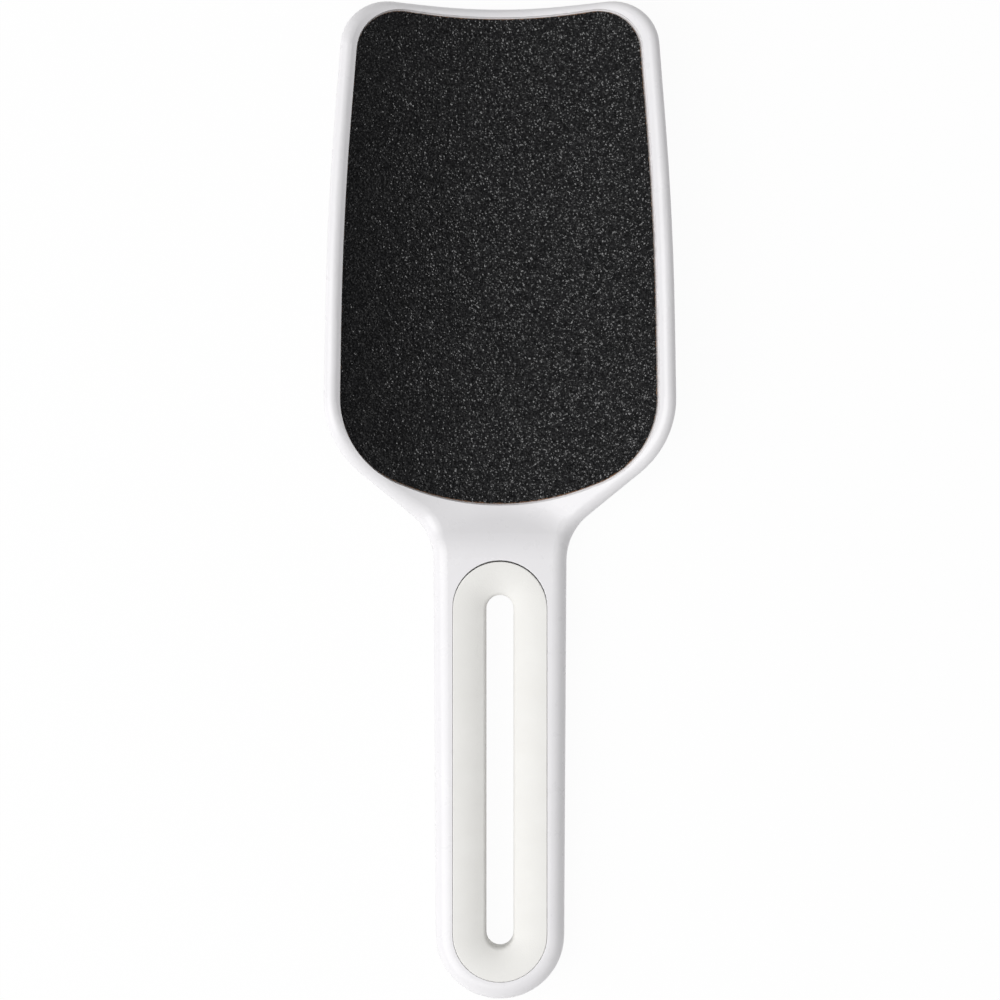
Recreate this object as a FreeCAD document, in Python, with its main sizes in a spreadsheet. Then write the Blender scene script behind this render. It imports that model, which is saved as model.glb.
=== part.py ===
"""Two-sided foot file: a troughed paddle of two shells, soft grip inserts and two abrasive pads."""

import FreeCAD, Part
import enum
import math
import os

import Sketcher

Vector = FreeCAD.Vector
Rotation = FreeCAD.Rotation
Placement = FreeCAD.Placement

# Driving dimensions in millimetres. X runs across, Y along with the tip at +Y, Z up out of the trough.
SIZES = {
    # Lengths from tip to butt
    "head_length": 106.6,
    "neck_length": 8.2,
    "handle_length": 95.6,
    # Outline of the paddle
    "tip_width": 65.0,
    "head_width": 73.6,
    "handle_width": 28.1,
    "butt_width": 27.1,
    "tip_dip": 2.1,
    "neck_drop": 5.7,
    "tip_radius": 200.0,
    "corner_radius": 10.2,
    "side_radius": 700.0,
    "shoulder_radius": 20.0,
    "neck_radius": 12.5,
    # Section of the head and the handle
    "trough_radius": 54.0,
    "wall": 1.5,
    "cavity_depth": 1.2,
    "belly_lift": 0.25,
    "handle_height": 10.0,
    "ramp_root": 0.45,
    "rim_land": 4.6,
    "seam_width": 0.24,
    "seam_depth": 0.25,
    # Rounded edges
    "ramp_foot_radius": 12.0,
    "ramp_brow_radius": 14.0,
    "head_edge_radius": 1.6,
    "handle_edge_radius": 3.0,
    "back_edge_radius": 1.6,
    "window_edge_radius": 0.15,
    "bezel_edge_radius": 0.5,
    # Abrasive pads, laid by hand a little to the left in their recesses
    "pad_side_margin": 3.7,
    "pad_tip_margin": 1.75,
    "pad_tip_dip": 2.9,
    "pad_shoulder_drop": 3.55,
    "pad_tip_radius": 160.0,
    "pad_corner_radius": 9.2,
    "pad_shoulder_radius": 19.0,
    "pad_end_radius": 52.0,
    "pad_clearance": 0.35,
    "pad_shift": 0.25,
    "pad_sink": 0.35,
    "bond_gap": 0.05,
    "adhesive_thickness": 0.12,
    "backing_thickness": 0.3,
    "coarse_grit_thickness": 0.28,
    "fine_grit_thickness": 0.18,
    # Grip inserts and the slot through them
    "insert_width": 19.8,
    "insert_neck_gap": 3.5,
    "insert_butt_gap": 3.8,
    "slot_width": 5.74,
    "insert_clearance": 0.05,
    "insert_end_slack": 0.25,
    "insert_edge_radius": 0.2,
    "dish_radius": 15.5,
    "slot_lip_radius": 1.2,
    "flange_width": 0.8,
    "flange_thickness": 1.2,
    "flange_clearance": 0.1,
    "bezel_width": 1.6,
    # Locating pins of the back shell
    "pin_radius": 0.9,
    "butt_pin_radius": 0.7,
    "pin_height": 1.3,
    "pin_clearance": 0.1,
    "pin_inset": 2.0,
}

# Worked-out positions. "up" is measured along Y from the butt end, "z" from the table.
PLACES = {
    "overall": "sizes.head_length + sizes.neck_length + sizes.handle_length",
    "butt_y": "-overall / 2",
    "overhang": "sizes.handle_width / 4",
    "start_y": "butt_y - overhang",
    "run_length": "overall + 2 * overhang",
    # Outline
    "tip_half": "sizes.tip_width / 2",
    "head_half": "sizes.head_width / 2",
    "neck_half": "sizes.handle_width / 2",
    "butt_radius": "sizes.butt_width / 2",
    "up_tip": "overall",
    "up_tip_mid": "up_tip - sizes.tip_dip",
    "up_foot": "sizes.handle_length + sizes.neck_length",
    "up_brow": "sizes.handle_length",
    "up_neck": "up_foot - sizes.neck_drop",
    "up_shoulder": "up_neck + 0.8264 * (head_half - neck_half)",
    "side_run": "(up_tip - up_shoulder) / 2",
    "up_side": "up_shoulder + side_run",
    "side_bulge": "0.45 * side_run ^ 2 / sizes.side_radius",
    "side_half": "(tip_half + head_half) / 2 + side_bulge",
    "wide_half": "max(head_half; side_half) + sizes.wall",
    # Radii of the layers about the trough axis
    "sheet_stack": "sizes.bond_gap + sizes.adhesive_thickness + sizes.backing_thickness",
    "coarse_stack": "sheet_stack + sizes.coarse_grit_thickness",
    "fine_stack": "sheet_stack + sizes.fine_grit_thickness",
    "coarse_floor_r": "sizes.trough_radius + coarse_stack + sizes.pad_sink",
    "cavity_top_r": "coarse_floor_r + sizes.wall",
    "parting_r": "cavity_top_r + sizes.cavity_depth / 2",
    "cavity_bottom_r": "cavity_top_r + sizes.cavity_depth",
    "fine_floor_r": "cavity_bottom_r + sizes.wall",
    "back_r": "fine_floor_r + fine_stack + sizes.pad_sink",
    "coarse_bond_r": "coarse_floor_r - sizes.bond_gap",
    "coarse_film_r": "coarse_bond_r - sizes.adhesive_thickness",
    "coarse_paper_r": "coarse_film_r - sizes.backing_thickness",
    "coarse_top_r": "coarse_paper_r - sizes.coarse_grit_thickness",
    "fine_bond_r": "fine_floor_r + sizes.bond_gap",
    "fine_film_r": "fine_bond_r + sizes.adhesive_thickness",
    "fine_paper_r": "fine_film_r + sizes.backing_thickness",
    "fine_top_r": "fine_paper_r + sizes.fine_grit_thickness",
    # Heights
    "axis_z": "back_r + sizes.belly_lift",
    "floor_z": "axis_z - sizes.trough_radius",
    "parting_z": "axis_z - sqrt(parting_r ^ 2 - neck_half ^ 2)",
    "root_z": "(floor_z + sizes.belly_lift) / 2",
    "ramp_tip_z": "floor_z - sizes.ramp_root",
    "ramp_rise": "sizes.handle_height - floor_z",
    "ramp_over": "sizes.ramp_root * sizes.neck_length / ramp_rise",
    "ramp_angle": "atan(ramp_rise / sizes.neck_length)",
    "brow_setback": "sizes.ramp_brow_radius * tan(ramp_angle / 2)",
    "brow_end_z": "sizes.handle_height - brow_setback * sin(ramp_angle)",
    "run_brow": "up_brow + overhang",
    "run_brow_start": "run_brow - brow_setback",
    "run_brow_end": "run_brow + brow_setback * cos(ramp_angle)",
    "run_tip": "up_foot + ramp_over + overhang",
    # Pad outline
    "pad_tip_half": "tip_half - sizes.pad_side_margin",
    "pad_side_half": "side_half - sizes.pad_side_margin",
    "pad_half": "head_half - sizes.pad_side_margin",
    "pad_up_tip": "up_tip - sizes.pad_tip_margin",
    "pad_up_tip_mid": "pad_up_tip - sizes.pad_tip_dip",
    "pad_up_shoulder": "up_shoulder - sizes.pad_shoulder_drop",
    "pad_end_reach": "0.85 * (pad_half - sizes.pad_shoulder_radius)",
    "pad_end_turn": "asin(pad_end_reach / (sizes.pad_end_radius - sizes.pad_shoulder_radius))",
    "pad_up_end": "pad_up_shoulder - pad_half * tan(pad_end_turn)",
    "sheet_reach": "2 * overall",
    # Grip window, inserts and slot
    "insert_half": "sizes.insert_width / 2",
    "insert_top_up": "up_brow - sizes.insert_neck_gap - insert_half",
    "insert_end_up": "sizes.insert_butt_gap + insert_half",
    "insert_run": "insert_top_up - insert_end_up",
    "insert_top_y": "butt_y + insert_top_up",
    "insert_end_y": "butt_y + insert_end_up",
    "insert_mid_y": "(insert_top_y + insert_end_y) / 2",
    "window_half": "insert_half + sizes.insert_clearance",
    "window_top_up": "insert_top_up + sizes.insert_end_slack",
    "flange_half": "insert_half + sizes.flange_width",
    "rebate_half": "flange_half + sizes.flange_clearance",
    "rebate_depth": "sizes.flange_thickness + sizes.flange_clearance",
    "rebate_z": "parting_z - rebate_depth",
    "rebate_height": "2 * rebate_depth",
    "bezel_half": "window_half + sizes.bezel_width",
    "slot_half": "sizes.slot_width / 2",
    "lip_x": "slot_half + sizes.slot_lip_radius",
    "crown_x": "insert_half - sizes.insert_edge_radius",
    "dish_share": "(sizes.dish_radius - sizes.slot_lip_radius) / sizes.dish_radius",
    "lip_rise": "sqrt((sizes.dish_radius - sizes.slot_lip_radius) ^ 2 - (crown_x - lip_x) ^ 2)",
    "lip_drop": "sizes.dish_radius - lip_rise",
    "dish_x": "crown_x - (crown_x - lip_x) / dish_share",
    "dish_drop": "sizes.dish_radius - lip_rise / dish_share",
    "front_flange_z": "parting_z + sizes.flange_thickness",
    "front_edge_z": "sizes.handle_height - sizes.insert_edge_radius",
    "front_dish_z": "sizes.handle_height - dish_drop",
    "front_lip_z": "sizes.handle_height - lip_drop",
    "back_flange_z": "parting_z - sizes.flange_thickness",
    # Cavity and the step of the parting face
    "cavity_end_y": "butt_y + up_brow",
    "rebate_top_y": "butt_y + window_top_up + rebate_half",
    "step_y": "(cavity_end_y + rebate_top_y) / 2",
    "head_run": "-butt_y + overhang - step_y",
    "cavity_run": "-butt_y + overhang - cavity_end_y",
    "step_run": "step_y - start_y",
    # Groove that marks the parting line on the outside
    "seam_top_r": "parting_r - sizes.seam_width / 2",
    "seam_bottom_r": "parting_r + sizes.seam_width / 2",
    "seam_z": "parting_z - sizes.seam_width / 2",
    # Locating pins
    "tip_pin_x": "tip_half / 2",
    "tip_pin_y": "-butt_y - sizes.tip_dip - sizes.pin_inset",
    "side_pin_x": "head_half - sizes.pin_inset",
    "side_pin_y": "butt_y + up_shoulder + 3 * sizes.shoulder_radius / 4",
    "tip_pin_z": "axis_z - sqrt(parting_r ^ 2 - tip_pin_x ^ 2)",
    "side_pin_z": "axis_z - sqrt(parting_r ^ 2 - side_pin_x ^ 2)",
    "neck_pin_x": "insert_half",
    "neck_pin_y": "step_y - sizes.pin_radius - sizes.pin_inset / 4",
    "butt_pin_r": "(rebate_half + butt_radius) / 2",
    "butt_pin_x": "butt_pin_r * sqrt(0.5)",
    "butt_pin_y": "butt_y + butt_radius - butt_pin_x",
    "pin_length": "2 * sizes.pin_height",
    "socket_radius": "sizes.pin_radius + sizes.pin_clearance",
    "butt_socket_radius": "sizes.butt_pin_radius + sizes.pin_clearance",
    "socket_length": "pin_length + 2 * sizes.pin_clearance",
}

doc = FreeCAD.newDocument("foot_file")
sizes = doc.addObject("Spreadsheet::Sheet", "sizes")
for row, (name, number) in enumerate(SIZES.items(), start=1):
    sizes.set("A%d" % row, name)
    sizes.set("B%d" % row, str(number))
    sizes.setAlias("B%d" % row, name)
places = doc.addObject("Spreadsheet::Sheet", "places")
for row, (name, formula) in enumerate(PLACES.items(), start=1):
    places.set("A%d" % row, name)
    places.setAlias("B%d" % row, name)
    places.set("B%d" % row, "=" + formula)
doc.recompute()


def ref(name):
    """Expression that reads a named cell."""
    return ("sizes." if name in SIZES else "places.") + name


def value(name):
    """Present number in a named cell."""
    return (sizes if name in SIZES else places).get(name)


def bind(item, **cells):
    """Tie properties of an object to named cells."""
    for path, name in cells.items():
        item.setExpression(path, ref(name))


def bind_base(item, **cells):
    """Tie the position of an object to named cells."""
    for axis, name in cells.items():
        item.setExpression("Placement.Base." + axis, ref(name))


def drive(sketch, kind, first, second, name):
    """Add a dimension between two (geometry, point) pairs, or on one geometry, read from a cell."""
    if second is None:
        index = sketch.addConstraint(Sketcher.Constraint(kind, first, value(name)))
    else:
        index = sketch.addConstraint(Sketcher.Constraint(kind, *first, *second, value(name)))
    sketch.setExpression("Constraints[%d]" % index, ref(name))


class Spot(enum.IntEnum):
    """Points of a sketch geometry, as constraints number them."""
    START = 1
    END = 2
    CENTRE = 3


class Axis(enum.IntEnum):
    """The sketch's own axes, as constraints number them."""
    ACROSS = -1
    ALONG = -2


ORIGIN = (Axis.ACROSS, Spot.START)


def arc_through(start, via, end):
    """Arc over three points, drawn anticlockwise whichever way the points run."""
    if (via - start).cross(end - via).z > 0:
        return Part.Arc(start, via, end)
    return Part.Arc(end, via, start)


def corner(before, at, after, radius):
    """Arc that rounds a corner, the two points where it starts and ends, and its turning sense."""
    inward = (at - before).normalize()
    outward = (after - at).normalize()
    turn = inward.getAngle(outward)
    setback = radius * math.tan(turn / 2)
    start = at - inward * setback
    end = at + outward * setback
    bisector = (outward - inward).normalize()
    middle = at + bisector * (radius / math.cos(turn / 2) - radius)
    left = inward.cross(outward).z > 0
    return arc_through(start, middle, end), start, end, left


def outline(sketch, corners, butt=None):
    """Closed symmetric outline: rounded corners up the right side, over the tip and down the left.

    Each corner names its half width (None on the axis), its height above the sketch origin and its radius.
    With a butt radius the two lowest lines run tangent into one round end; otherwise the first corner
    lies on the axis and closes the outline.
    """
    spots = [(1, spot) for spot in corners]
    spots += [(-1, spot) for spot in reversed(corners) if spot[0] is not None]
    points = []
    for sign, (half, up, radius) in spots:
        points.append(Vector(sign * (value(half) if half else 0), value(up), 0))
    count = len(points)

    marks = []
    for (sign, (half, up, radius)), point in zip(spots, points):
        mark = sketch.addGeometry(Part.Point(point), True)
        if half is None:
            sketch.addConstraint(Sketcher.Constraint("PointOnObject", mark, Spot.START, Axis.ALONG))
            drive(sketch, "DistanceY", ORIGIN, (mark, Spot.START), up)
        elif sign > 0:
            drive(sketch, "DistanceX", ORIGIN, (mark, Spot.START), half)
            drive(sketch, "DistanceY", ORIGIN, (mark, Spot.START), up)
        else:
            twin = marks[[spot for _, spot in spots].index((half, up, radius))]
            sketch.addConstraint(Sketcher.Constraint("Symmetric", twin, Spot.START, mark, Spot.START,
                                                     Axis.ALONG))
        marks.append(mark)

    if butt is not None:
        end_radius = value(butt)
        centre = Vector(0, end_radius, 0)
        reach = points[0] - centre
        swing = math.atan2(reach.y, reach.x) - math.acos(end_radius / reach.Length)
        foot = centre + Vector(end_radius * math.cos(swing), end_radius * math.sin(swing), 0)
        other = Vector(-foot.x, foot.y, 0)

    arcs = []
    for i, point in enumerate(points):
        before = points[i - 1]
        after = points[(i + 1) % count]
        if butt is not None and i == 0:
            before = foot
        if butt is not None and i == count - 1:
            after = other
        arc, start, end, left = corner(before, point, after, value(spots[i][1][2]))
        shape = sketch.addGeometry(arc)
        drive(sketch, "Radius", shape, None, spots[i][1][2])
        arcs.append((shape, start, end, left))

    def join(line, line_end, arc, entering, left):
        point = Spot.START if entering == left else Spot.END
        sketch.addConstraint(Sketcher.Constraint("Tangent", line, line_end, arc, point))

    def straight(first, second, passing):
        line = sketch.addGeometry(Part.LineSegment(first, second))
        for mark in passing:
            sketch.addConstraint(Sketcher.Constraint("PointOnObject", mark, Spot.START, line))
        return line

    for i in range(count):
        following = (i + 1) % count
        if butt is not None and following == 0:
            continue
        line = straight(arcs[i][2], arcs[following][1], (marks[i], marks[following]))
        join(line, Spot.START, arcs[i][0], False, arcs[i][3])
        join(line, Spot.END, arcs[following][0], True, arcs[following][3])

    if butt is not None:
        round_end = sketch.addGeometry(Part.Arc(other, Vector(0, 0, 0), foot))
        drive(sketch, "Radius", round_end, None, butt)
        sketch.addConstraint(Sketcher.Constraint("PointOnObject", round_end, Spot.CENTRE, Axis.ALONG))
        drive(sketch, "DistanceY", ORIGIN, (round_end, Spot.CENTRE), butt)
        rising = straight(foot, arcs[0][1], (marks[0],))
        join(rising, Spot.END, arcs[0][0], True, arcs[0][3])
        sketch.addConstraint(Sketcher.Constraint("Tangent", rising, Spot.START, round_end, Spot.END))
        falling = straight(arcs[-1][2], other, (marks[-1],))
        join(falling, Spot.START, arcs[-1][0], False, arcs[-1][3])
        sketch.addConstraint(Sketcher.Constraint("Tangent", falling, Spot.END, round_end, Spot.START))


PADDLE = (
    ("neck_half", "up_neck", "neck_radius"),
    ("head_half", "up_shoulder", "shoulder_radius"),
    ("side_half", "up_side", "side_radius"),
    ("tip_half", "up_tip", "corner_radius"),
    (None, "up_tip_mid", "tip_radius"),
)
PAD = (
    (None, "pad_up_end", "pad_end_radius"),
    ("pad_half", "pad_up_shoulder", "pad_shoulder_radius"),
    ("pad_side_half", "up_side", "side_radius"),
    ("pad_tip_half", "pad_up_tip", "pad_corner_radius"),
    (None, "pad_up_tip_mid", "pad_tip_radius"),
)


def flat_sketch(name):
    """Sketch in the table plane with its origin at the butt end."""
    sketch = doc.addObject("Sketcher::SketchObject", name)
    bind_base(sketch, y="butt_y")
    return sketch


def fixed_chain(sketch, points, arcs=()):
    """Closed chain through (x cell, y cell) points.

    Arcs maps a segment number to its radius cell and a point it bulges through.
    """
    arcs = dict(arcs)
    spots = [Vector(value(x) if x else 0, value(y) if y else 0, 0) for x, y in points]
    count = len(spots)
    segments = []
    for i, spot in enumerate(spots):
        following = spots[(i + 1) % count]
        if i in arcs:
            radius, via = arcs[i]
            segment = sketch.addGeometry(arc_through(spot, via, following))
            drive(sketch, "Radius", segment, None, radius)
        else:
            segment = sketch.addGeometry(Part.LineSegment(spot, following))
        shape = sketch.Geometry[segment]
        forward = shape.StartPoint.distanceToPoint(spot) < 1e-6
        segments.append((segment, Spot.START if forward else Spot.END, Spot.END if forward else Spot.START))
    for i, (segment, first, last) in enumerate(segments):
        x, y = points[i]
        if x:
            drive(sketch, "DistanceX", ORIGIN, (segment, first), x)
        else:
            sketch.addConstraint(Sketcher.Constraint("PointOnObject", segment, first, Axis.ALONG))
        if y:
            drive(sketch, "DistanceY", ORIGIN, (segment, first), y)
        else:
            sketch.addConstraint(Sketcher.Constraint("PointOnObject", segment, first, Axis.ACROSS))
        after, entry, _ = segments[(i + 1) % count]
        sketch.addConstraint(Sketcher.Constraint("Coincident", segment, last, after, entry))


def stadium(name, half, top, bottom):
    """Sketch of a slot shape between two heights above the butt end."""
    sketch = flat_sketch(name)
    radius = value(half)
    high = Vector(0, value(top), 0)
    low = Vector(0, value(bottom), 0)
    across = Vector(radius, 0, 0)
    right = sketch.addGeometry(Part.LineSegment(low + across, high + across))
    over = sketch.addGeometry(Part.Arc(high + across, high + Vector(0, radius, 0), high - across))
    left = sketch.addGeometry(Part.LineSegment(high - across, low - across))
    under = sketch.addGeometry(Part.Arc(low - across, low - Vector(0, radius, 0), low + across))
    for arc, up in ((over, top), (under, bottom)):
        sketch.addConstraint(Sketcher.Constraint("PointOnObject", arc, Spot.CENTRE, Axis.ALONG))
        drive(sketch, "DistanceY", ORIGIN, (arc, Spot.CENTRE), up)
    for first, second in ((right, over), (over, left), (left, under), (under, right)):
        sketch.addConstraint(Sketcher.Constraint("Tangent", first, Spot.END, second, Spot.START))
    drive(sketch, "Radius", over, None, half)
    sketch.addConstraint(Sketcher.Constraint("Equal", over, under))
    return sketch


def extrusion(name, sketch, length, base=None):
    """Solid raised from a flat outline, optionally started at a height."""
    solid = doc.addObject("Part::Extrusion", name)
    solid.Base = sketch
    solid.DirMode = "Custom"
    solid.Dir = Vector(0, 0, 1)
    solid.Solid = True
    bind(solid, LengthFwd=length)
    if base:
        bind_base(solid, z=base)
    return solid


def lengthwise_cylinder(name, radius):
    """Cylinder about the trough axis over the whole length."""
    solid = doc.addObject("Part::Cylinder", name)
    solid.Placement = Placement(Vector(), Rotation(Vector(1, 0, 0), -90))
    bind(solid, Radius=radius, Height="run_length")
    bind_base(solid, y="start_y", z="axis_z")
    return solid


def block(name, y, length, z=None, height="axis_z"):
    """Box across the full width from a given Y, and from a given height up."""
    solid = doc.addObject("Part::Box", name)
    solid.setExpression("Length", "2 * places.wide_half")
    solid.setExpression("Placement.Base.x", "-places.wide_half")
    bind(solid, Width=length, Height=height)
    bind_base(solid, y=y)
    if z:
        bind_base(solid, z=z)
    return solid


def boolean(kind, name, base, *tools):
    """Cut, fuse or intersect objects in the order given."""
    result = base
    for number, tool in enumerate(tools, start=1):
        step = doc.addObject("Part::" + kind, name if number == len(tools) else "%s_%d" % (name, number))
        step.Base = result
        step.Tool = tool
        result = step
    return result


def middle(edge):
    return edge.valueAt((edge.FirstParameter + edge.LastParameter) / 2)


def round_edges(name, base, chosen):
    """Fillet edges; chosen gives (start radius, end radius) for an edge, or None to leave it."""
    doc.recompute()
    picked = []
    for number, edge in enumerate(base.Shape.Edges, start=1):
        radii = chosen(base.Shape, edge)
        if radii:
            picked.append((number, *radii))
    solid = doc.addObject("Part::Fillet", name)
    solid.Base = base
    solid.Edges = picked
    doc.recompute()
    return solid


def rim(up):
    """Test for edges between an upright outline wall and the skin that faces up (1) or down (-1)."""
    def found(shape, edge):
        point = middle(edge)
        slopes = []
        for face in shape.ancestorsOfType(edge, Part.Face):
            slopes.append(face.normalAt(*face.Surface.parameter(point)).z)
        upright = [abs(slope) < 1e-3 for slope in slopes]
        return sum(upright) == 1 and slopes[upright.index(False)] * up > 0
    return found


# Solid paddle: a ring about the trough axis, and a handle block whose nose is the neck ramp
paddle_sketch = flat_sketch("paddle_outline")
outline(paddle_sketch, PADDLE, "butt_radius")
paddle_prism = extrusion("paddle_prism", paddle_sketch, "axis_z")
head_ring = boolean("Cut", "head_ring", lengthwise_cylinder("back_skin", "back_r"),
                    lengthwise_cylinder("trough", "trough_radius"))

ramp_sketch = doc.addObject("Sketcher::SketchObject", "handle_side_view")
ramp_sketch.Placement = Placement(Vector(), Rotation(Vector(1, 1, 1), 120))
ramp_sketch.setExpression("Placement.Base.x", "-places.wide_half")
bind_base(ramp_sketch, y="start_y")
half_slope = math.atan(value("ramp_rise") / value("neck_length")) / 2
brow_centre = Vector(value("run_brow_start"), value("handle_height") - value("ramp_brow_radius"), 0)
brow_via = brow_centre + Vector(math.sin(half_slope), math.cos(half_slope), 0) * value("ramp_brow_radius")
fixed_chain(ramp_sketch, (
    (None, "root_z"),
    ("run_brow", "root_z"),
    ("run_tip", "ramp_tip_z"),
    ("run_brow_end", "brow_end_z"),
    ("run_brow_start", "handle_height"),
    (None, "handle_height"),
), {3: ("ramp_brow_radius", brow_via)})
handle_block = doc.addObject("Part::Extrusion", "handle_block")
handle_block.Base = ramp_sketch
handle_block.DirMode = "Custom"
handle_block.Dir = Vector(1, 0, 0)
handle_block.Solid = True
handle_block.setExpression("LengthFwd", "2 * places.wide_half")

ring_and_handle = boolean("Fuse", "ring_and_handle", head_ring, handle_block)
paddle = boolean("Common", "paddle", ring_and_handle, paddle_prism)

foot_y = value("butt_y") + value("up_foot")
brow_y = value("butt_y") + value("up_brow")
neck_y = value("butt_y") + value("up_neck")
shoulder_y = value("butt_y") + value("up_shoulder")


def ramp_foot(shape, edge):
    point = middle(edge)
    if abs(point.x) < 0.1 and abs(point.y - foot_y) < 0.1 and abs(point.z - value("floor_z")) < 0.1:
        return (value("ramp_foot_radius"),) * 2


def front_radius(y):
    """Edge radius along the front: the head's down to the shoulder, growing to the handle's at the neck."""
    share = min(max((shoulder_y - y) / (shoulder_y - neck_y), 0), 1)
    return value("head_edge_radius") + share * (value("handle_edge_radius") - value("head_edge_radius"))


def front_rim(shape, edge):
    if rim(1)(shape, edge):
        ends = (edge.valueAt(edge.FirstParameter), edge.valueAt(edge.LastParameter))
        return tuple(front_radius(end.y) for end in ends)


def back_rim(shape, edge):
    if rim(-1)(shape, edge):
        return (value("back_edge_radius"),) * 2


paddle = round_edges("ramp_foot", paddle, ramp_foot)
paddle = round_edges("front_edge", paddle, front_rim)
paddle = round_edges("back_edge", paddle, back_rim)

# Flat bezel round the back of the grip, which the handle rests on
bezel_sketch = stadium("bezel_outline", "bezel_half", "window_top_up", "insert_end_up")
bezel = extrusion("bezel_block", bezel_sketch, "root_z")


def bezel_rim(shape, edge):
    if abs(edge.BoundBox.ZMax) < 1e-6:
        return (value("bezel_edge_radius"),) * 2


bezel = round_edges("bezel", bezel, bezel_rim)
paddle = boolean("Fuse", "paddle_with_bezel", paddle, bezel)

# Hollows: head cavity, pad recesses, grip window and the rebate that traps the insert flanges
cavity_outline = doc.addObject("Part::Offset2D", "cavity_outline")
cavity_outline.Source = paddle_sketch
cavity_outline.setExpression("Value", "-sizes.rim_land")
cavity = boolean("Common", "cavity",
                 boolean("Cut", "cavity_ring", lengthwise_cylinder("cavity_bottom", "cavity_bottom_r"),
                         lengthwise_cylinder("cavity_top", "cavity_top_r")),
                 extrusion("cavity_prism", cavity_outline, "axis_z"),
                 block("cavity_reach", "cavity_end_y", "cavity_run"))

pad_sketch = flat_sketch("pad_outline")
outline(pad_sketch, PAD)
recess_outline = doc.addObject("Part::Offset2D", "recess_outline")
recess_outline.Source = pad_sketch
bind(recess_outline, Value="pad_clearance")
coarse_recess = boolean("Common", "coarse_recess", extrusion("coarse_prism", recess_outline, "axis_z"),
                        lengthwise_cylinder("coarse_floor", "coarse_floor_r"))
fine_recess = boolean("Cut", "fine_recess", extrusion("fine_prism", recess_outline, "axis_z"),
                      lengthwise_cylinder("fine_floor", "fine_floor_r"))

window_sketch = stadium("window_outline", "window_half", "window_top_up", "insert_end_up")
window = extrusion("window", window_sketch, "axis_z")
rebate_sketch = stadium("rebate_outline", "rebate_half", "window_top_up", "insert_end_up")
rebate = extrusion("rebate", rebate_sketch, "rebate_height", "rebate_z")
hollow = boolean("Cut", "hollow_paddle", paddle, cavity, coarse_recess, fine_recess, window, rebate)


def window_rim(shape, edge):
    """Edges of the grip window on the front face and on the bezel."""
    box = edge.BoundBox
    inside = box.XMax < value("window_half") + 1e-3 and box.XMin > -value("window_half") - 1e-3
    level = box.ZLength < 1e-6 and min(abs(box.ZMin), abs(box.ZMin - value("handle_height"))) < 1e-6
    if inside and level and box.YMax < brow_y:
        return (value("window_edge_radius"),) * 2


hollow = round_edges("window_edge", hollow, window_rim)

# The parting face follows the middle of the head, then steps to the middle of the handle
lower_half = boolean("Fuse", "lower_half",
                     boolean("Cut", "lower_head", block("head_block", "step_y", "head_run"),
                             lengthwise_cylinder("parting", "parting_r")),
                     block("handle_lower", "start_y", "step_run", height="parting_z"))

# Seam groove: a thin band along the parting face, as deep as its inset from the outline
seam_inside = doc.addObject("Part::Offset2D", "seam_inside")
seam_inside.Source = paddle_sketch
seam_inside.setExpression("Value", "-sizes.seam_depth")
head_band = boolean("Cut", "head_band", lengthwise_cylinder("seam_bottom", "seam_bottom_r"),
                    lengthwise_cylinder("seam_top", "seam_top_r"))
head_seam = boolean("Common", "head_seam", head_band, block("seam_reach", "step_y", "head_run"))
handle_seam = block("handle_seam", "start_y", "step_run", "seam_z", "seam_width")
seam = boolean("Cut", "seam", boolean("Fuse", "seam_band", head_seam, handle_seam),
               extrusion("seam_prism", seam_inside, "axis_z"))
hollow = boolean("Cut", "seamed_paddle", hollow, seam)

PINS = (
    ("tip", "tip_pin_x", "tip_pin_y", "tip_pin_z", "pin_radius", "socket_radius"),
    ("side", "side_pin_x", "side_pin_y", "side_pin_z", "pin_radius", "socket_radius"),
    ("neck", "neck_pin_x", "neck_pin_y", "parting_z", "pin_radius", "socket_radius"),
    ("butt", "butt_pin_x", "butt_pin_y", "parting_z", "butt_pin_radius", "butt_socket_radius"),
)


def peg(name, sign, x, y, z, radius, length):
    """Upright cylinder centred on the parting face."""
    solid = doc.addObject("Part::Cylinder", name)
    bind(solid, Radius=radius, Height=length)
    solid.setExpression("Placement.Base.x", ("" if sign > 0 else "-") + ref(x))
    bind_base(solid, y=y)
    solid.setExpression("Placement.Base.z", "%s - %s / 2" % (ref(z), ref(length)))
    return solid


pins = []
sockets = []
for label, x, y, z, pin, socket in PINS:
    for side, sign in (("right", 1), ("left", -1)):
        pins.append(peg("%s_pin_%s" % (label, side), sign, x, y, z, pin, "pin_length"))
        sockets.append(peg("%s_socket_%s" % (label, side), sign, x, y, z, socket, "socket_length"))

socket_set = doc.addObject("Part::Compound", "socket_set")
socket_set.Links = sockets
front_shell = boolean("Cut", "front_shell", hollow, lower_half, socket_set)
back_shell = doc.addObject("Part::MultiFuse", "back_shell")
back_shell.Shapes = [boolean("Common", "back_half", hollow, lower_half)] + pins


def body_sketch(body, name, role):
    """Sketch on one of a body's own origin planes."""
    sketch = body.newObject("Sketcher::SketchObject", name)
    plane = [item for item in body.Origin.OriginFeatures if item.Role == role][0]
    sketch.AttachmentSupport = [(plane, "")]
    sketch.MapMode = "FlatFace"
    return sketch


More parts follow.
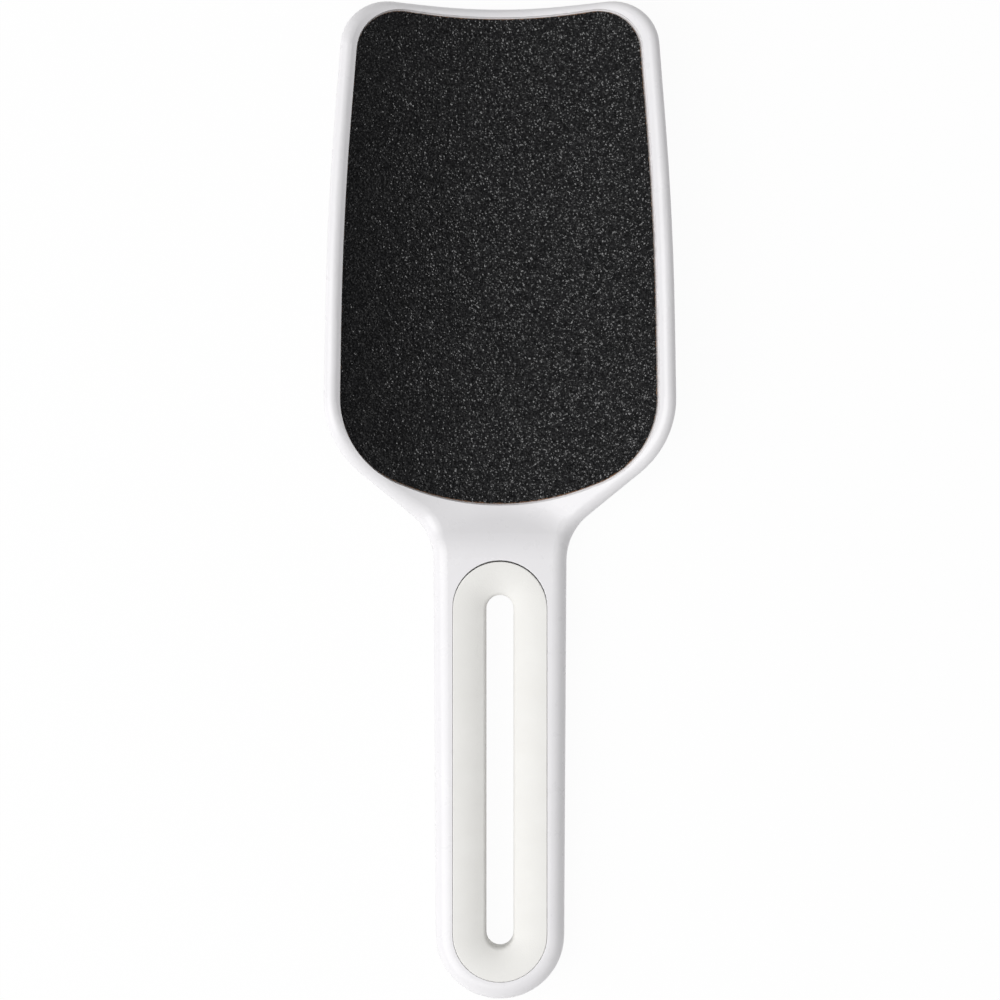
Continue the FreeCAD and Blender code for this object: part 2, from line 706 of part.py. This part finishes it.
def pad_layer(name, outer, inner):
    """One bent sheet of a pad: a ring segment along the trough, cut to the pad outline."""
    body = doc.addObject("PartDesign::Body", name)
    section = body_sketch(body, name + "_section", "XZ_Plane")
    half = value("wide_half")
    axis = value("axis_z")
    rings = []
    for radius in (outer, inner):
        size = value(radius)
        edge = axis - math.sqrt(size ** 2 - half ** 2)
        bottom = Vector(0, axis - size, 0)
        arc = section.addGeometry(Part.Arc(Vector(-half, edge, 0), bottom, Vector(half, edge, 0)))
        drive(section, "Radius", arc, None, radius)
        section.addConstraint(Sketcher.Constraint("PointOnObject", arc, Spot.CENTRE, Axis.ALONG))
        drive(section, "DistanceY", ORIGIN, (arc, Spot.CENTRE), "axis_z")
        drive(section, "DistanceX", ORIGIN, (arc, Spot.END), "wide_half")
        section.addConstraint(Sketcher.Constraint("Symmetric", arc, Spot.START, arc, Spot.END, Axis.ALONG))
        rings.append((arc, edge))
    for point, x in ((Spot.START, -half), (Spot.END, half)):
        side = section.addGeometry(Part.LineSegment(Vector(x, rings[0][1], 0), Vector(x, rings[1][1], 0)))
        section.addConstraint(Sketcher.Constraint("Coincident", side, Spot.START, rings[0][0], point))
        section.addConstraint(Sketcher.Constraint("Coincident", side, Spot.END, rings[1][0], point))
    sheet = body.newObject("PartDesign::Pad", name + "_sheet")
    sheet.Profile = section
    sheet.SideType = "Symmetric"
    bind(sheet, Length="run_length")

    cut = body_sketch(body, name + "_die_cut", "XY_Plane")
    cut.setExpression("AttachmentOffset.Base.x", "-" + ref("pad_shift"))
    cut.setExpression("AttachmentOffset.Base.y", ref("butt_y"))
    outline(cut, PAD)
    reach = value("sheet_reach")
    frame = [Vector(x * reach, y * reach, 0) for x, y in ((-1, -1), (1, -1), (1, 1), (-1, 1))]
    lines = [cut.addGeometry(Part.LineSegment(frame[i], frame[(i + 1) % 4])) for i in range(4)]
    for i, line in enumerate(lines):
        cut.addConstraint(Sketcher.Constraint("Coincident", line, Spot.END, lines[(i + 1) % 4], Spot.START))
        cut.addConstraint(Sketcher.Constraint("Horizontal" if i % 2 == 0 else "Vertical", line))
    cut.addConstraint(Sketcher.Constraint("Symmetric", lines[0], Spot.START, lines[2], Spot.START, *ORIGIN))
    drive(cut, "DistanceX", ORIGIN, (lines[2], Spot.START), "sheet_reach")
    drive(cut, "DistanceY", ORIGIN, (lines[2], Spot.START), "sheet_reach")
    waste = body.newObject("PartDesign::Pocket", name + "_waste")
    waste.Profile = cut
    waste.SideType = "Symmetric"
    waste.Type = "ThroughAll"
    return body


pads = [
    pad_layer("coarse_adhesive", "coarse_bond_r", "coarse_film_r"),
    pad_layer("coarse_backing", "coarse_film_r", "coarse_paper_r"),
    pad_layer("coarse_grit", "coarse_paper_r", "coarse_top_r"),
    pad_layer("fine_adhesive", "fine_film_r", "fine_bond_r"),
    pad_layer("fine_backing", "fine_paper_r", "fine_film_r"),
    pad_layer("fine_grit", "fine_top_r", "fine_paper_r"),
]


def grip_insert(name, up, levels):
    """Stadium ring: two half turns of one profile joined by two straight legs.

    The levels name the heights of the flange, the outer edge, the crown (None on the table), the end of
    the dish and the slot lip; up is 1 when the crown is above the parting face and -1 when below.
    """
    flange, edge, crown, dish, lip = levels
    points = (
        ("slot_half", "parting_z"),
        ("flange_half", "parting_z"),
        ("flange_half", flange),
        ("insert_half", flange),
        ("insert_half", edge),
        ("crown_x", crown),
        ("dish_x", dish),
        ("slot_half", lip),
    )
    top = value(crown) if crown else 0
    edge_centre = Vector(value("crown_x"), value(edge), 0)
    edge_via = edge_centre + Vector(1, up, 0).normalize() * value("insert_edge_radius")
    dish_middle = (value("crown_x") - value("dish_x")) / 2
    dish_fall = value("dish_radius") - math.sqrt(value("dish_radius") ** 2 - dish_middle ** 2)
    dish_via = Vector(value("crown_x") - dish_middle, top - up * dish_fall, 0)
    lip_centre = Vector(value("lip_x"), value(lip), 0)
    lip_start = Vector(value("dish_x"), value(dish), 0) - lip_centre
    lip_via = lip_centre + (lip_start.normalize() + Vector(-1, 0, 0)).normalize() * value("slot_lip_radius")
    rounds = {
        4: ("insert_edge_radius", edge_via),
        5: ("dish_radius", dish_via),
        6: ("slot_lip_radius", lip_via),
    }

    body = doc.addObject("PartDesign::Body", name)

    def profile(label, y):
        sketch = body_sketch(body, "%s_%s_profile" % (name, label), "XZ_Plane")
        sketch.setExpression("AttachmentOffset.Base.z", "-" + ref(y))
        fixed_chain(sketch, points, rounds)
        return sketch

    def half_turn(label, y, backwards):
        turn = body.newObject("PartDesign::Revolution", "%s_%s_turn" % (name, label))
        turn.Profile = profile(label, y)
        turn.ReferenceAxis = (turn.Profile[0], ["V_Axis"])
        turn.Angle = 180
        turn.Reversed = backwards

    half_turn("neck", "insert_top_y", False)
    leg = body.newObject("PartDesign::Pad", name + "_leg")
    leg.Profile = profile("leg", "insert_mid_y")
    leg.SideType = "Symmetric"
    bind(leg, Length="insert_run")
    pair = body.newObject("PartDesign::Mirrored", name + "_legs")
    pair.Originals = [leg]
    pair.MirrorPlane = ([item for item in body.Origin.OriginFeatures if item.Role == "YZ_Plane"][0], [""])
    body.Tip = pair
    half_turn("butt", "insert_end_y", True)
    return body


inserts = [
    grip_insert("front_grip_insert", 1,
                ("front_flange_z", "front_edge_z", "handle_height", "front_dish_z", "front_lip_z")),
    grip_insert("back_grip_insert", -1,
                ("back_flange_z", "insert_edge_radius", None, "dish_drop", "lip_drop")),
]

doc.recompute()
nodes = [front_shell, back_shell] + inserts + pads
for item in doc.Objects:
    if "Invalid" in item.State or "Error" in item.State:
        raise RuntimeError("%s did not build" % item.Label)
for node in nodes:
    if node.Shape.isNull() or not node.Shape.isValid() or len(node.Shape.Solids) != 1:
        raise RuntimeError("%s is not one valid solid" % node.Label)
os.makedirs("parts", exist_ok=True)
for node in nodes:
    node.Shape.exportStep("parts/%s.step" % node.Label)
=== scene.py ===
import math

import bmesh
import bpy
import numpy as np
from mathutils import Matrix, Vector, geometry, kdtree
from mathutils.bvhtree import BVHTree


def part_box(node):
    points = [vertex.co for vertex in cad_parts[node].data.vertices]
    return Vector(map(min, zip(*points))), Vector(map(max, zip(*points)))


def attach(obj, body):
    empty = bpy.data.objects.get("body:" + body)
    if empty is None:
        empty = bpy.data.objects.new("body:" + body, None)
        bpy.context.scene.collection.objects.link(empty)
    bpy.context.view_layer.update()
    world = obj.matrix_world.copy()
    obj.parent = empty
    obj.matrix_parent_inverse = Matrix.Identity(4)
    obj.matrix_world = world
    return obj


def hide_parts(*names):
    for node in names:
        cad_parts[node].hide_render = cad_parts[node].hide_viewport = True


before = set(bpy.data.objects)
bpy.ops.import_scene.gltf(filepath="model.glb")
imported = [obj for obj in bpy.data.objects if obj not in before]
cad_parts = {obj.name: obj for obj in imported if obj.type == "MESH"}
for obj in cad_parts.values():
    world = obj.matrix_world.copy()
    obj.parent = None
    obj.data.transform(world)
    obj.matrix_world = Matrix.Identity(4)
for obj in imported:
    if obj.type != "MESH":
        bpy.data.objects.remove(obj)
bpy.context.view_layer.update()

MM = 0.001

# Camera: straight above the trough, with the whole file just filling the frame
CAMERA_HEIGHT = 750 * MM
HANDLE_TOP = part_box("front_grip_insert")[1].z
PIXELS = 1000
PIXELS_PER_MM = 4.7624
CAMERA_Y = -0.13 * MM
SENSOR_WIDTH = 36
NEAREST_SEEN = 10 * MM

# Light: a broad soft box high on the left, turned a little to the handle end, and an even sky.
# Each level is what a white surface facing that light shows.
BOX_FROM = Vector((-0.53, -0.22, 0.82)).normalized()
BOX_DISTANCE = 1000 * MM
BOX_SIDE = 1050 * MM
BOX_LEVEL = 0.725
SKY_LEVEL = 0.335

# Floor: just under the file, so that the file's flat back does not share its plane
FLOOR_REACH = 3000 * MM
FLOOR_Z = -0.05 * MM
FLOOR_COLOUR = (0.9, 0.9, 0.9, 1)
FLOOR_GLOW_SHARE = 0.96
WHITE = (1, 1, 1, 1)

# Numbers of the colour sockets of a Mix node
MIX_A, MIX_B, MIX_RESULT = 6, 7, 2

# Reading a pad's CAD solid
WELD_DISTANCE = 0.001 * MM
SKIN_SLOPE = 0.3
RAY_CLEARANCE = 5 * MM
RAY_NUDGE = 0.02 * MM

# Grain sheets: lengths in steps of the grain
RAGGED_LEAST, RAGGED_MOST = 0.1, 0.9
GRAIN_MARGIN = 0.6
UNDER_STEP = 6
UNDER_MARGIN = 0.5
# How far the bare paper edge favours the right and the handle sides
BARE_RIGHT, BARE_HANDLE = 0.7, 0.5
# Above 1, more grains stand near the top of the layer than near its floor
SINK_POWER = 1.3

# Texture map of a grain sheet: the strip right of the grain that takes the underside and the walls
STRIP_GAP = 0.02
STRIP_FILL = 0.9
WALL_START = 0.55
WALL_SHRINK = 0.5
WALL_RISE = 0.2


def graph(name):
    """New node material: its tree, its Principled shader and the piece's coordinates in metres."""
    made = bpy.data.materials.new(name)
    made.use_nodes = True
    tree = made.node_tree
    shader = tree.nodes["Principled BSDF"]
    place = tree.nodes.new("ShaderNodeTexCoord").outputs["Object"]
    return made, tree, shader, place


def node(tree, kind, **sockets):
    """Add a node; a socket given as another node's output is linked, anything else is set."""
    made = tree.nodes.new("ShaderNode" + kind)
    for name, given in sockets.items():
        socket = made.inputs[name.replace("_", " ")]
        if isinstance(given, bpy.types.NodeSocket):
            tree.links.new(given, socket)
        else:
            socket.default_value = given
    return made


def noise(tree, place, size, detail=2.0, roughness=0.5):
    """Cloudy pattern whose blotches are about `size` across."""
    made = node(tree, "TexNoise", Vector=place, Scale=1 / size, Detail=detail, Roughness=roughness)
    return made.outputs["Fac"]


def cells(tree, place, size):
    """Grains about `size` across: the distance from each one's middle, and a random colour each."""
    made = node(tree, "TexVoronoi", Vector=place, Scale=1 / size)
    return made.outputs["Distance"], made.outputs["Color"]


def spread(tree, value, low, high, start=0.3, end=0.7):
    """Map a pattern's values from start to end on to a range; the default is a noise's middle."""
    made = node(tree, "MapRange", Value=value, From_Min=start, From_Max=end, To_Min=low, To_Max=high)
    return made.outputs["Result"]


def blend_colours(tree, share, dark, light):
    """Colour between two, by a pattern."""
    made = tree.nodes.new("ShaderNodeMix")
    made.data_type = "RGBA"
    tree.links.new(share, made.inputs["Factor"])
    for index, colour in ((MIX_A, dark), (MIX_B, light)):
        made.inputs[index].default_value = (*colour, 1)
    return made.outputs[MIX_RESULT]


def bump(tree, shader, height, depth, strength=1.0):
    """Relief of a pattern, `depth` high."""
    made = node(tree, "Bump", Height=height, Strength=strength, Distance=depth)
    tree.links.new(made.outputs["Normal"], shader.inputs["Normal"])


def stretched(tree, place, x, y, z):
    """Coordinates scaled by axis, for streaks."""
    made = node(tree, "Mapping", Vector=place, Scale=(x, y, z))
    return made.outputs["Vector"]


def gloss_plastic():
    """Moulded white plastic, a touch violet, with a faint flow pattern and soft wear in its gloss."""
    made, tree, shader, place = graph("gloss_white_plastic")
    clouds = spread(tree, noise(tree, place, size=14 * MM), low=0, high=1)
    colour = blend_colours(tree, clouds, dark=(0.842, 0.831, 0.848), light=(0.864, 0.853, 0.87))
    tree.links.new(colour, shader.inputs["Base Color"])
    wear = noise(tree, place, size=3 * MM, detail=4)
    tree.links.new(spread(tree, wear, low=0.26, high=0.34), shader.inputs["Roughness"])
    ripple = noise(tree, place, size=0.9 * MM, detail=1)
    bump(tree, shader, ripple, depth=0.004 * MM, strength=0.6)
    shader.inputs["IOR"].default_value = 1.49
    return made


def soft_rubber():
    """Off-white rubber with a fine matte grain."""
    made, tree, shader, place = graph("soft_rubber")
    clouds = spread(tree, noise(tree, place, size=6 * MM, detail=4), low=0, high=1)
    colour = blend_colours(tree, clouds, dark=(0.85, 0.84, 0.812), light=(0.875, 0.867, 0.84))
    tree.links.new(colour, shader.inputs["Base Color"])
    grain = noise(tree, place, size=0.28 * MM, detail=3, roughness=0.6)
    tree.links.new(spread(tree, grain, low=0.5, high=0.68), shader.inputs["Roughness"])
    bump(tree, shader, grain, depth=0.035 * MM)
    shader.inputs["IOR"].default_value = 1.45
    return made


def abrasive(name, grain_size, dark, light, glint_share):
    """Mineral grain: near-black cells in a dark resin, a share of them fresh and glassy."""
    made, tree, shader, place = graph(name)
    distance, tint = cells(tree, place, grain_size)
    parts = node(tree, "SeparateColor", Color=tint)
    shade = spread(tree, parts.outputs["Red"], low=0, high=1, start=0.2, end=1)
    tree.links.new(blend_colours(tree, shade, dark, light), shader.inputs["Base Color"])
    fade = 0.15
    fresh = spread(tree, parts.outputs["Green"], low=1, high=0, start=glint_share, end=glint_share + fade)
    roughness = spread(tree, fresh, low=0.45, high=0.15, start=0, end=1)
    tree.links.new(roughness, shader.inputs["Roughness"])
    gloss = spread(tree, fresh, low=0.12, high=0.9, start=0, end=1)
    tree.links.new(gloss, shader.inputs["Specular IOR Level"])
    bump(tree, shader, distance, depth=0.06 * MM, strength=0.7)
    return made


def kraft_paper():
    """Brown paper with fibres along the file."""
    made, tree, shader, place = graph("kraft_paper")
    along = stretched(tree, place, x=1, y=0.2, z=1)
    fibres = noise(tree, along, size=0.15 * MM, detail=4)
    shade = spread(tree, fibres, low=0, high=1)
    colour = blend_colours(tree, shade, dark=(0.1, 0.045, 0.02), light=(0.27, 0.14, 0.07))
    tree.links.new(colour, shader.inputs["Base Color"])
    tree.links.new(spread(tree, fibres, low=0.7, high=0.9), shader.inputs["Roughness"])
    bump(tree, shader, fibres, depth=0.03 * MM)
    return made


def adhesive_film():
    """Yellowish glue film of uneven gloss."""
    made, tree, shader, place = graph("adhesive_film")
    clouds = spread(tree, noise(tree, place, size=2 * MM, detail=3), low=0, high=1)
    colour = blend_colours(tree, clouds, dark=(0.6, 0.55, 0.44), light=(0.7, 0.66, 0.55))
    tree.links.new(colour, shader.inputs["Base Color"])
    tree.links.new(spread(tree, clouds, low=0.3, high=0.45), shader.inputs["Roughness"])
    return made


def dress(name, made):
    """Give a CAD node's object one material."""
    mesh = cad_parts[name].data
    mesh.materials.clear()
    mesh.materials.append(made)


def welded(name):
    """Copy of a CAD node's mesh with its split corners joined."""
    work = bmesh.new()
    work.from_mesh(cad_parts[name].data)
    bmesh.ops.remove_doubles(work, verts=work.verts, dist=WELD_DISTANCE)
    work.normal_update()
    return work


def skin_outline(work, up):
    """Ordered outline, seen from above, of the skin that faces up (1) or down (-1)."""
    def faces_out(face):
        return face.normal.z * up > SKIN_SLOPE

    links = {}
    for edge in work.edges:
        sides = [faces_out(face) for face in edge.link_faces]
        if len(sides) == 2 and sides[0] != sides[1]:
            first, second = edge.verts
            links.setdefault(first.index, []).append(second.index)
            links.setdefault(second.index, []).append(first.index)
    work.verts.ensure_lookup_table()
    start = min(links)
    loop = [start]
    before, here = None, start
    while True:
        onward = [other for other in links[here] if other != before]
        before, here = here, onward[0]
        if here == start:
            break
        loop.append(here)
    points = np.array([work.verts[index].co.xy for index in loop])
    after = np.roll(points, -1, axis=0)
    area = np.sum(points[:, 0] * after[:, 1] - after[:, 0] * points[:, 1])
    return points if area > 0 else points[::-1]


def resample(points, step):
    """Closed polyline with even steps."""
    closed = np.vstack([points, points[:1]])
    lengths = np.hypot(*np.diff(closed, axis=0).T)
    along = np.concatenate([[0], np.cumsum(lengths)])
    count = int(along[-1] / step)
    marks = np.linspace(0, along[-1], count, endpoint=False)
    return np.stack([np.interp(marks, along, closed[:, axis]) for axis in (0, 1)], 1)


def outward(points):
    """Unit vectors pointing out of an anticlockwise closed polyline."""
    run = np.roll(points, -1, axis=0) - np.roll(points, 1, axis=0)
    run /= np.hypot(*run.T)[:, None]
    return np.stack([run[:, 1], -run[:, 0]], 1)


def jittered_grid(low, high, step, draw):
    """Points of a triangular grid, each moved at random by up to a third of the step."""
    rows = np.arange(low[1], high[1], step * math.sqrt(0.75))
    columns = np.arange(low[0], high[0], step)
    x, y = np.meshgrid(columns, rows)
    x[1::2] += step / 2
    points = np.stack([x.ravel(), y.ravel()], 1)
    return points + draw.uniform(-step / 3, step / 3, points.shape)


def fill(loop, inner, margin):
    """Triangles inside a loop, through the inner points that keep a margin to it.

    Gives the points, the faces and the numbers of the loop's points among them.
    """
    near = kdtree.KDTree(len(loop))
    for index, point in enumerate(loop):
        near.insert((*point, 0), index)
    near.balance()
    kept = [point for point in inner if near.find((*point, 0))[2] > margin]
    points = [Vector(point) for point in loop] + [Vector(point) for point in kept]
    ring = list(range(len(loop)))
    placed, _, faces, sources, _, _ = geometry.delaunay_2d_cdt(points, [], [ring], 1, 1e-9)
    used = sorted({corner for face in faces for corner in face})
    number = {old: new for new, old in enumerate(used)}
    faces = [[number[corner] for corner in face] for face in faces]
    found = {}
    for old in used:
        for source in sources[old]:
            found[source] = number[old]
    return [placed[old] for old in used], faces, [found[index] for index in ring]


def grain_sheet(piece_name, node_name, up, step, relief, bare_edge, seed):
    """Closed sheet of mineral grain over a pad's CAD solid.

    Its open side is broken into flat facets about one step wide whose corners sink by up to
    `relief`. Its cut edge stays inside the solid by a ragged margin, which grows by `bare_edge` on
    the right and handle sides.
    """
    draw = np.random.default_rng(seed)
    work = welded(node_name)
    tree = BVHTree.FromBMesh(work)
    low, high = (np.array(corner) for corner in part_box(node_name))
    above = high[2] + RAY_CLEARANCE if up > 0 else low[2] - RAY_CLEARANCE
    down = Vector((0, 0, -up))

    loop = resample(skin_outline(work, up), step)
    normals = outward(loop)
    lean = np.clip(BARE_RIGHT * normals[:, 0] - BARE_HANDLE * normals[:, 1], 0, 1)
    ragged = draw.uniform(RAGGED_LEAST, RAGGED_MOST, len(loop)) * step
    loop -= normals * (ragged + bare_edge * lean)[:, None]

    def drop(point):
        """Skin position, its normal and the layer's thickness below it."""
        place, normal, _, _ = tree.ray_cast(Vector((*point, above)), down)
        if normal.z * up < 0:
            normal = -normal
        under = tree.ray_cast(place - normal * RAY_NUDGE, -normal)[0]
        return place, normal, (under - place).length

    inner = jittered_grid(low[:2], high[:2], step, draw)
    inner = [point for point in inner if tree.ray_cast(Vector((*point, above)), down)[0] is not None]
    flat_top, top_faces, top_ring = fill(loop, inner, GRAIN_MARGIN * step)
    under_step = UNDER_STEP * step
    sparse = jittered_grid(low[:2], high[:2], under_step, draw)
    flat_under, under_faces, under_ring = fill(loop, sparse, UNDER_MARGIN * under_step)

    sink = relief * draw.random(len(flat_top)) ** SINK_POWER
    places = []
    for point, depth in zip(flat_top, sink):
        place, normal, _ = drop(point)
        places.append(place - normal * depth)
    count = len(places)
    for point in flat_under:
        place, normal, thickness = drop(point)
        places.append(place - normal * thickness)

    size = len(loop)
    faces = [face if up > 0 else face[::-1] for face in top_faces]
    faces += [[corner + count for corner in (face[::-1] if up > 0 else face)] for face in under_faces]
    for i in range(size):
        j = (i + 1) % size
        wall = [top_ring[j], top_ring[i], under_ring[i] + count, under_ring[j] + count]
        faces.append(wall if up > 0 else wall[::-1])

    mesh = bpy.data.meshes.new(piece_name)
    mesh.from_pydata(places, [], faces)
    mesh.update()
    lay_out(mesh, len(top_faces), len(under_faces), low, high)
    piece = bpy.data.objects.new(piece_name, mesh)
    bpy.context.scene.collection.objects.link(piece)
    work.free()
    return piece


def lay_out(mesh, top_count, under_count, low, high):
    """Texture map named OFBake.

    The grain fills the left of the map, and the underside and the walls a strip on the right.
    """
    tall = high[1] - low[1]
    wide = (high[0] - low[0]) / tall
    shrink = (1 - wide) / wide * STRIP_FILL
    layer = mesh.uv_layers.new(name="OFBake")
    for face in mesh.polygons:
        for corner in face.loop_indices:
            place = mesh.vertices[mesh.loops[corner].vertex_index].co
            u, v = (place.x - low[0]) / tall, (place.y - low[1]) / tall
            if face.index >= top_count:
                u, v = wide + STRIP_GAP + u * shrink, v * shrink
                if face.index >= top_count + under_count:
                    v = WALL_START + v * WALL_SHRINK + (place.z - low[2]) * WALL_RISE
            layer.data[corner].uv = (min(u, 1), min(v, 1))


def seen_directly(tree):
    """1 for rays that show the surroundings: from the camera, in a reflection or through glass."""
    path = tree.nodes.new("ShaderNodeLightPath")
    total = path.outputs["Is Camera Ray"]
    for name in ("Is Glossy Ray", "Is Transmission Ray"):
        either = tree.nodes.new("ShaderNodeMath")
        either.operation = "MAXIMUM"
        tree.links.new(total, either.inputs[0])
        tree.links.new(path.outputs[name], either.inputs[1])
        total = either.outputs[0]
    return total


def white_floor():
    """Pale floor that looks white from the camera and keeps a faint shadow."""
    mesh = bpy.data.meshes.new("floor")
    signs = ((-1, -1), (1, -1), (1, 1), (-1, 1))
    corners = [(x * FLOOR_REACH, y * FLOOR_REACH, FLOOR_Z) for x, y in signs]
    mesh.from_pydata(corners, [], [(0, 1, 2, 3)])
    floor = bpy.data.objects.new("floor", mesh)
    bpy.context.scene.collection.objects.link(floor)
    made = bpy.data.materials.new("floor")
    made.use_nodes = True
    tree = made.node_tree
    tree.nodes.remove(tree.nodes["Principled BSDF"])
    matte = node(tree, "BsdfDiffuse", Color=FLOOR_COLOUR)
    glow = node(tree, "Emission", Color=WHITE, Strength=1.0)
    share = tree.nodes.new("ShaderNodeMath")
    share.operation = "MULTIPLY"
    tree.links.new(seen_directly(tree), share.inputs[0])
    share.inputs[1].default_value = FLOOR_GLOW_SHARE
    mix = tree.nodes.new("ShaderNodeMixShader")
    tree.links.new(share.outputs[0], mix.inputs[0])
    tree.links.new(matte.outputs[0], mix.inputs[1])
    tree.links.new(glow.outputs[0], mix.inputs[2])
    tree.links.new(mix.outputs[0], tree.nodes["Material Output"].inputs["Surface"])
    mesh.materials.append(made)


def even_sky():
    """White world of one level all round."""
    world = bpy.data.worlds.new("sky")
    bpy.context.scene.world = world
    world.use_nodes = True
    sky = world.node_tree.nodes["Background"]
    sky.inputs["Color"].default_value = WHITE
    sky.inputs["Strength"].default_value = SKY_LEVEL


def soft_box():
    """Square lamp aimed at the file, with the power that shows BOX_LEVEL on a white surface."""
    half = BOX_SIDE / 2 / BOX_DISTANCE
    reach = math.sqrt(1 + half ** 2)
    share = 4 / math.pi * half / reach * math.atan(half / reach)
    data = bpy.data.lights.new("soft_box", "AREA")
    data.shape = "SQUARE"
    data.size = BOX_SIDE
    data.energy = BOX_LEVEL / share * math.pi * BOX_SIDE ** 2
    lamp = bpy.data.objects.new("soft_box", data)
    lamp.location = BOX_FROM * BOX_DISTANCE
    lamp.rotation_euler = BOX_FROM.to_track_quat("Z", "Y").to_euler()
    bpy.context.scene.collection.objects.link(lamp)


def overhead_camera():
    """Camera looking straight down, at the photograph's scale on top of the handle."""
    data = bpy.data.cameras.new("camera")
    data.sensor_width = SENSOR_WIDTH
    data.lens = data.sensor_width * CAMERA_HEIGHT / (PIXELS / PIXELS_PER_MM * MM)
    data.clip_start = NEAREST_SEEN
    camera = bpy.data.objects.new("camera", data)
    camera.location = (0, CAMERA_Y, HANDLE_TOP + CAMERA_HEIGHT)
    bpy.context.scene.collection.objects.link(camera)
    bpy.context.scene.camera = camera


for made, names in (
    (gloss_plastic(), ("front_shell", "back_shell")),
    (soft_rubber(), ("front_grip_insert", "back_grip_insert")),
    (kraft_paper(), ("coarse_backing", "fine_backing")),
    (adhesive_film(), ("coarse_adhesive", "fine_adhesive")),
):
    for name in names:
        dress(name, made)

coarse = grain_sheet("coarse_grain", "coarse_grit", up=1, step=0.28 * MM, relief=0.24 * MM,
                     bare_edge=0.08 * MM, seed=11)
coarse.data.materials.append(abrasive("coarse_mineral", grain_size=0.26 * MM, glint_share=0.16,
                                      dark=(0.004, 0.004, 0.0045), light=(0.014, 0.014, 0.015)))
fine = grain_sheet("fine_grain", "fine_grit", up=-1, step=0.34 * MM, relief=0.07 * MM,
                   bare_edge=0.15 * MM, seed=12)
fine.data.materials.append(abrasive("fine_mineral", grain_size=0.18 * MM, glint_share=0.06,
                                    dark=(0.02, 0.02, 0.022), light=(0.07, 0.07, 0.074)))
for piece, name in ((coarse, "coarse_grit"), (fine, "fine_grit")):
    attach(piece, "root")
    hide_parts(name)

white_floor()
even_sky()
soft_box()
overhead_camera()
bpy.context.scene.view_settings.view_transform = "Standard"
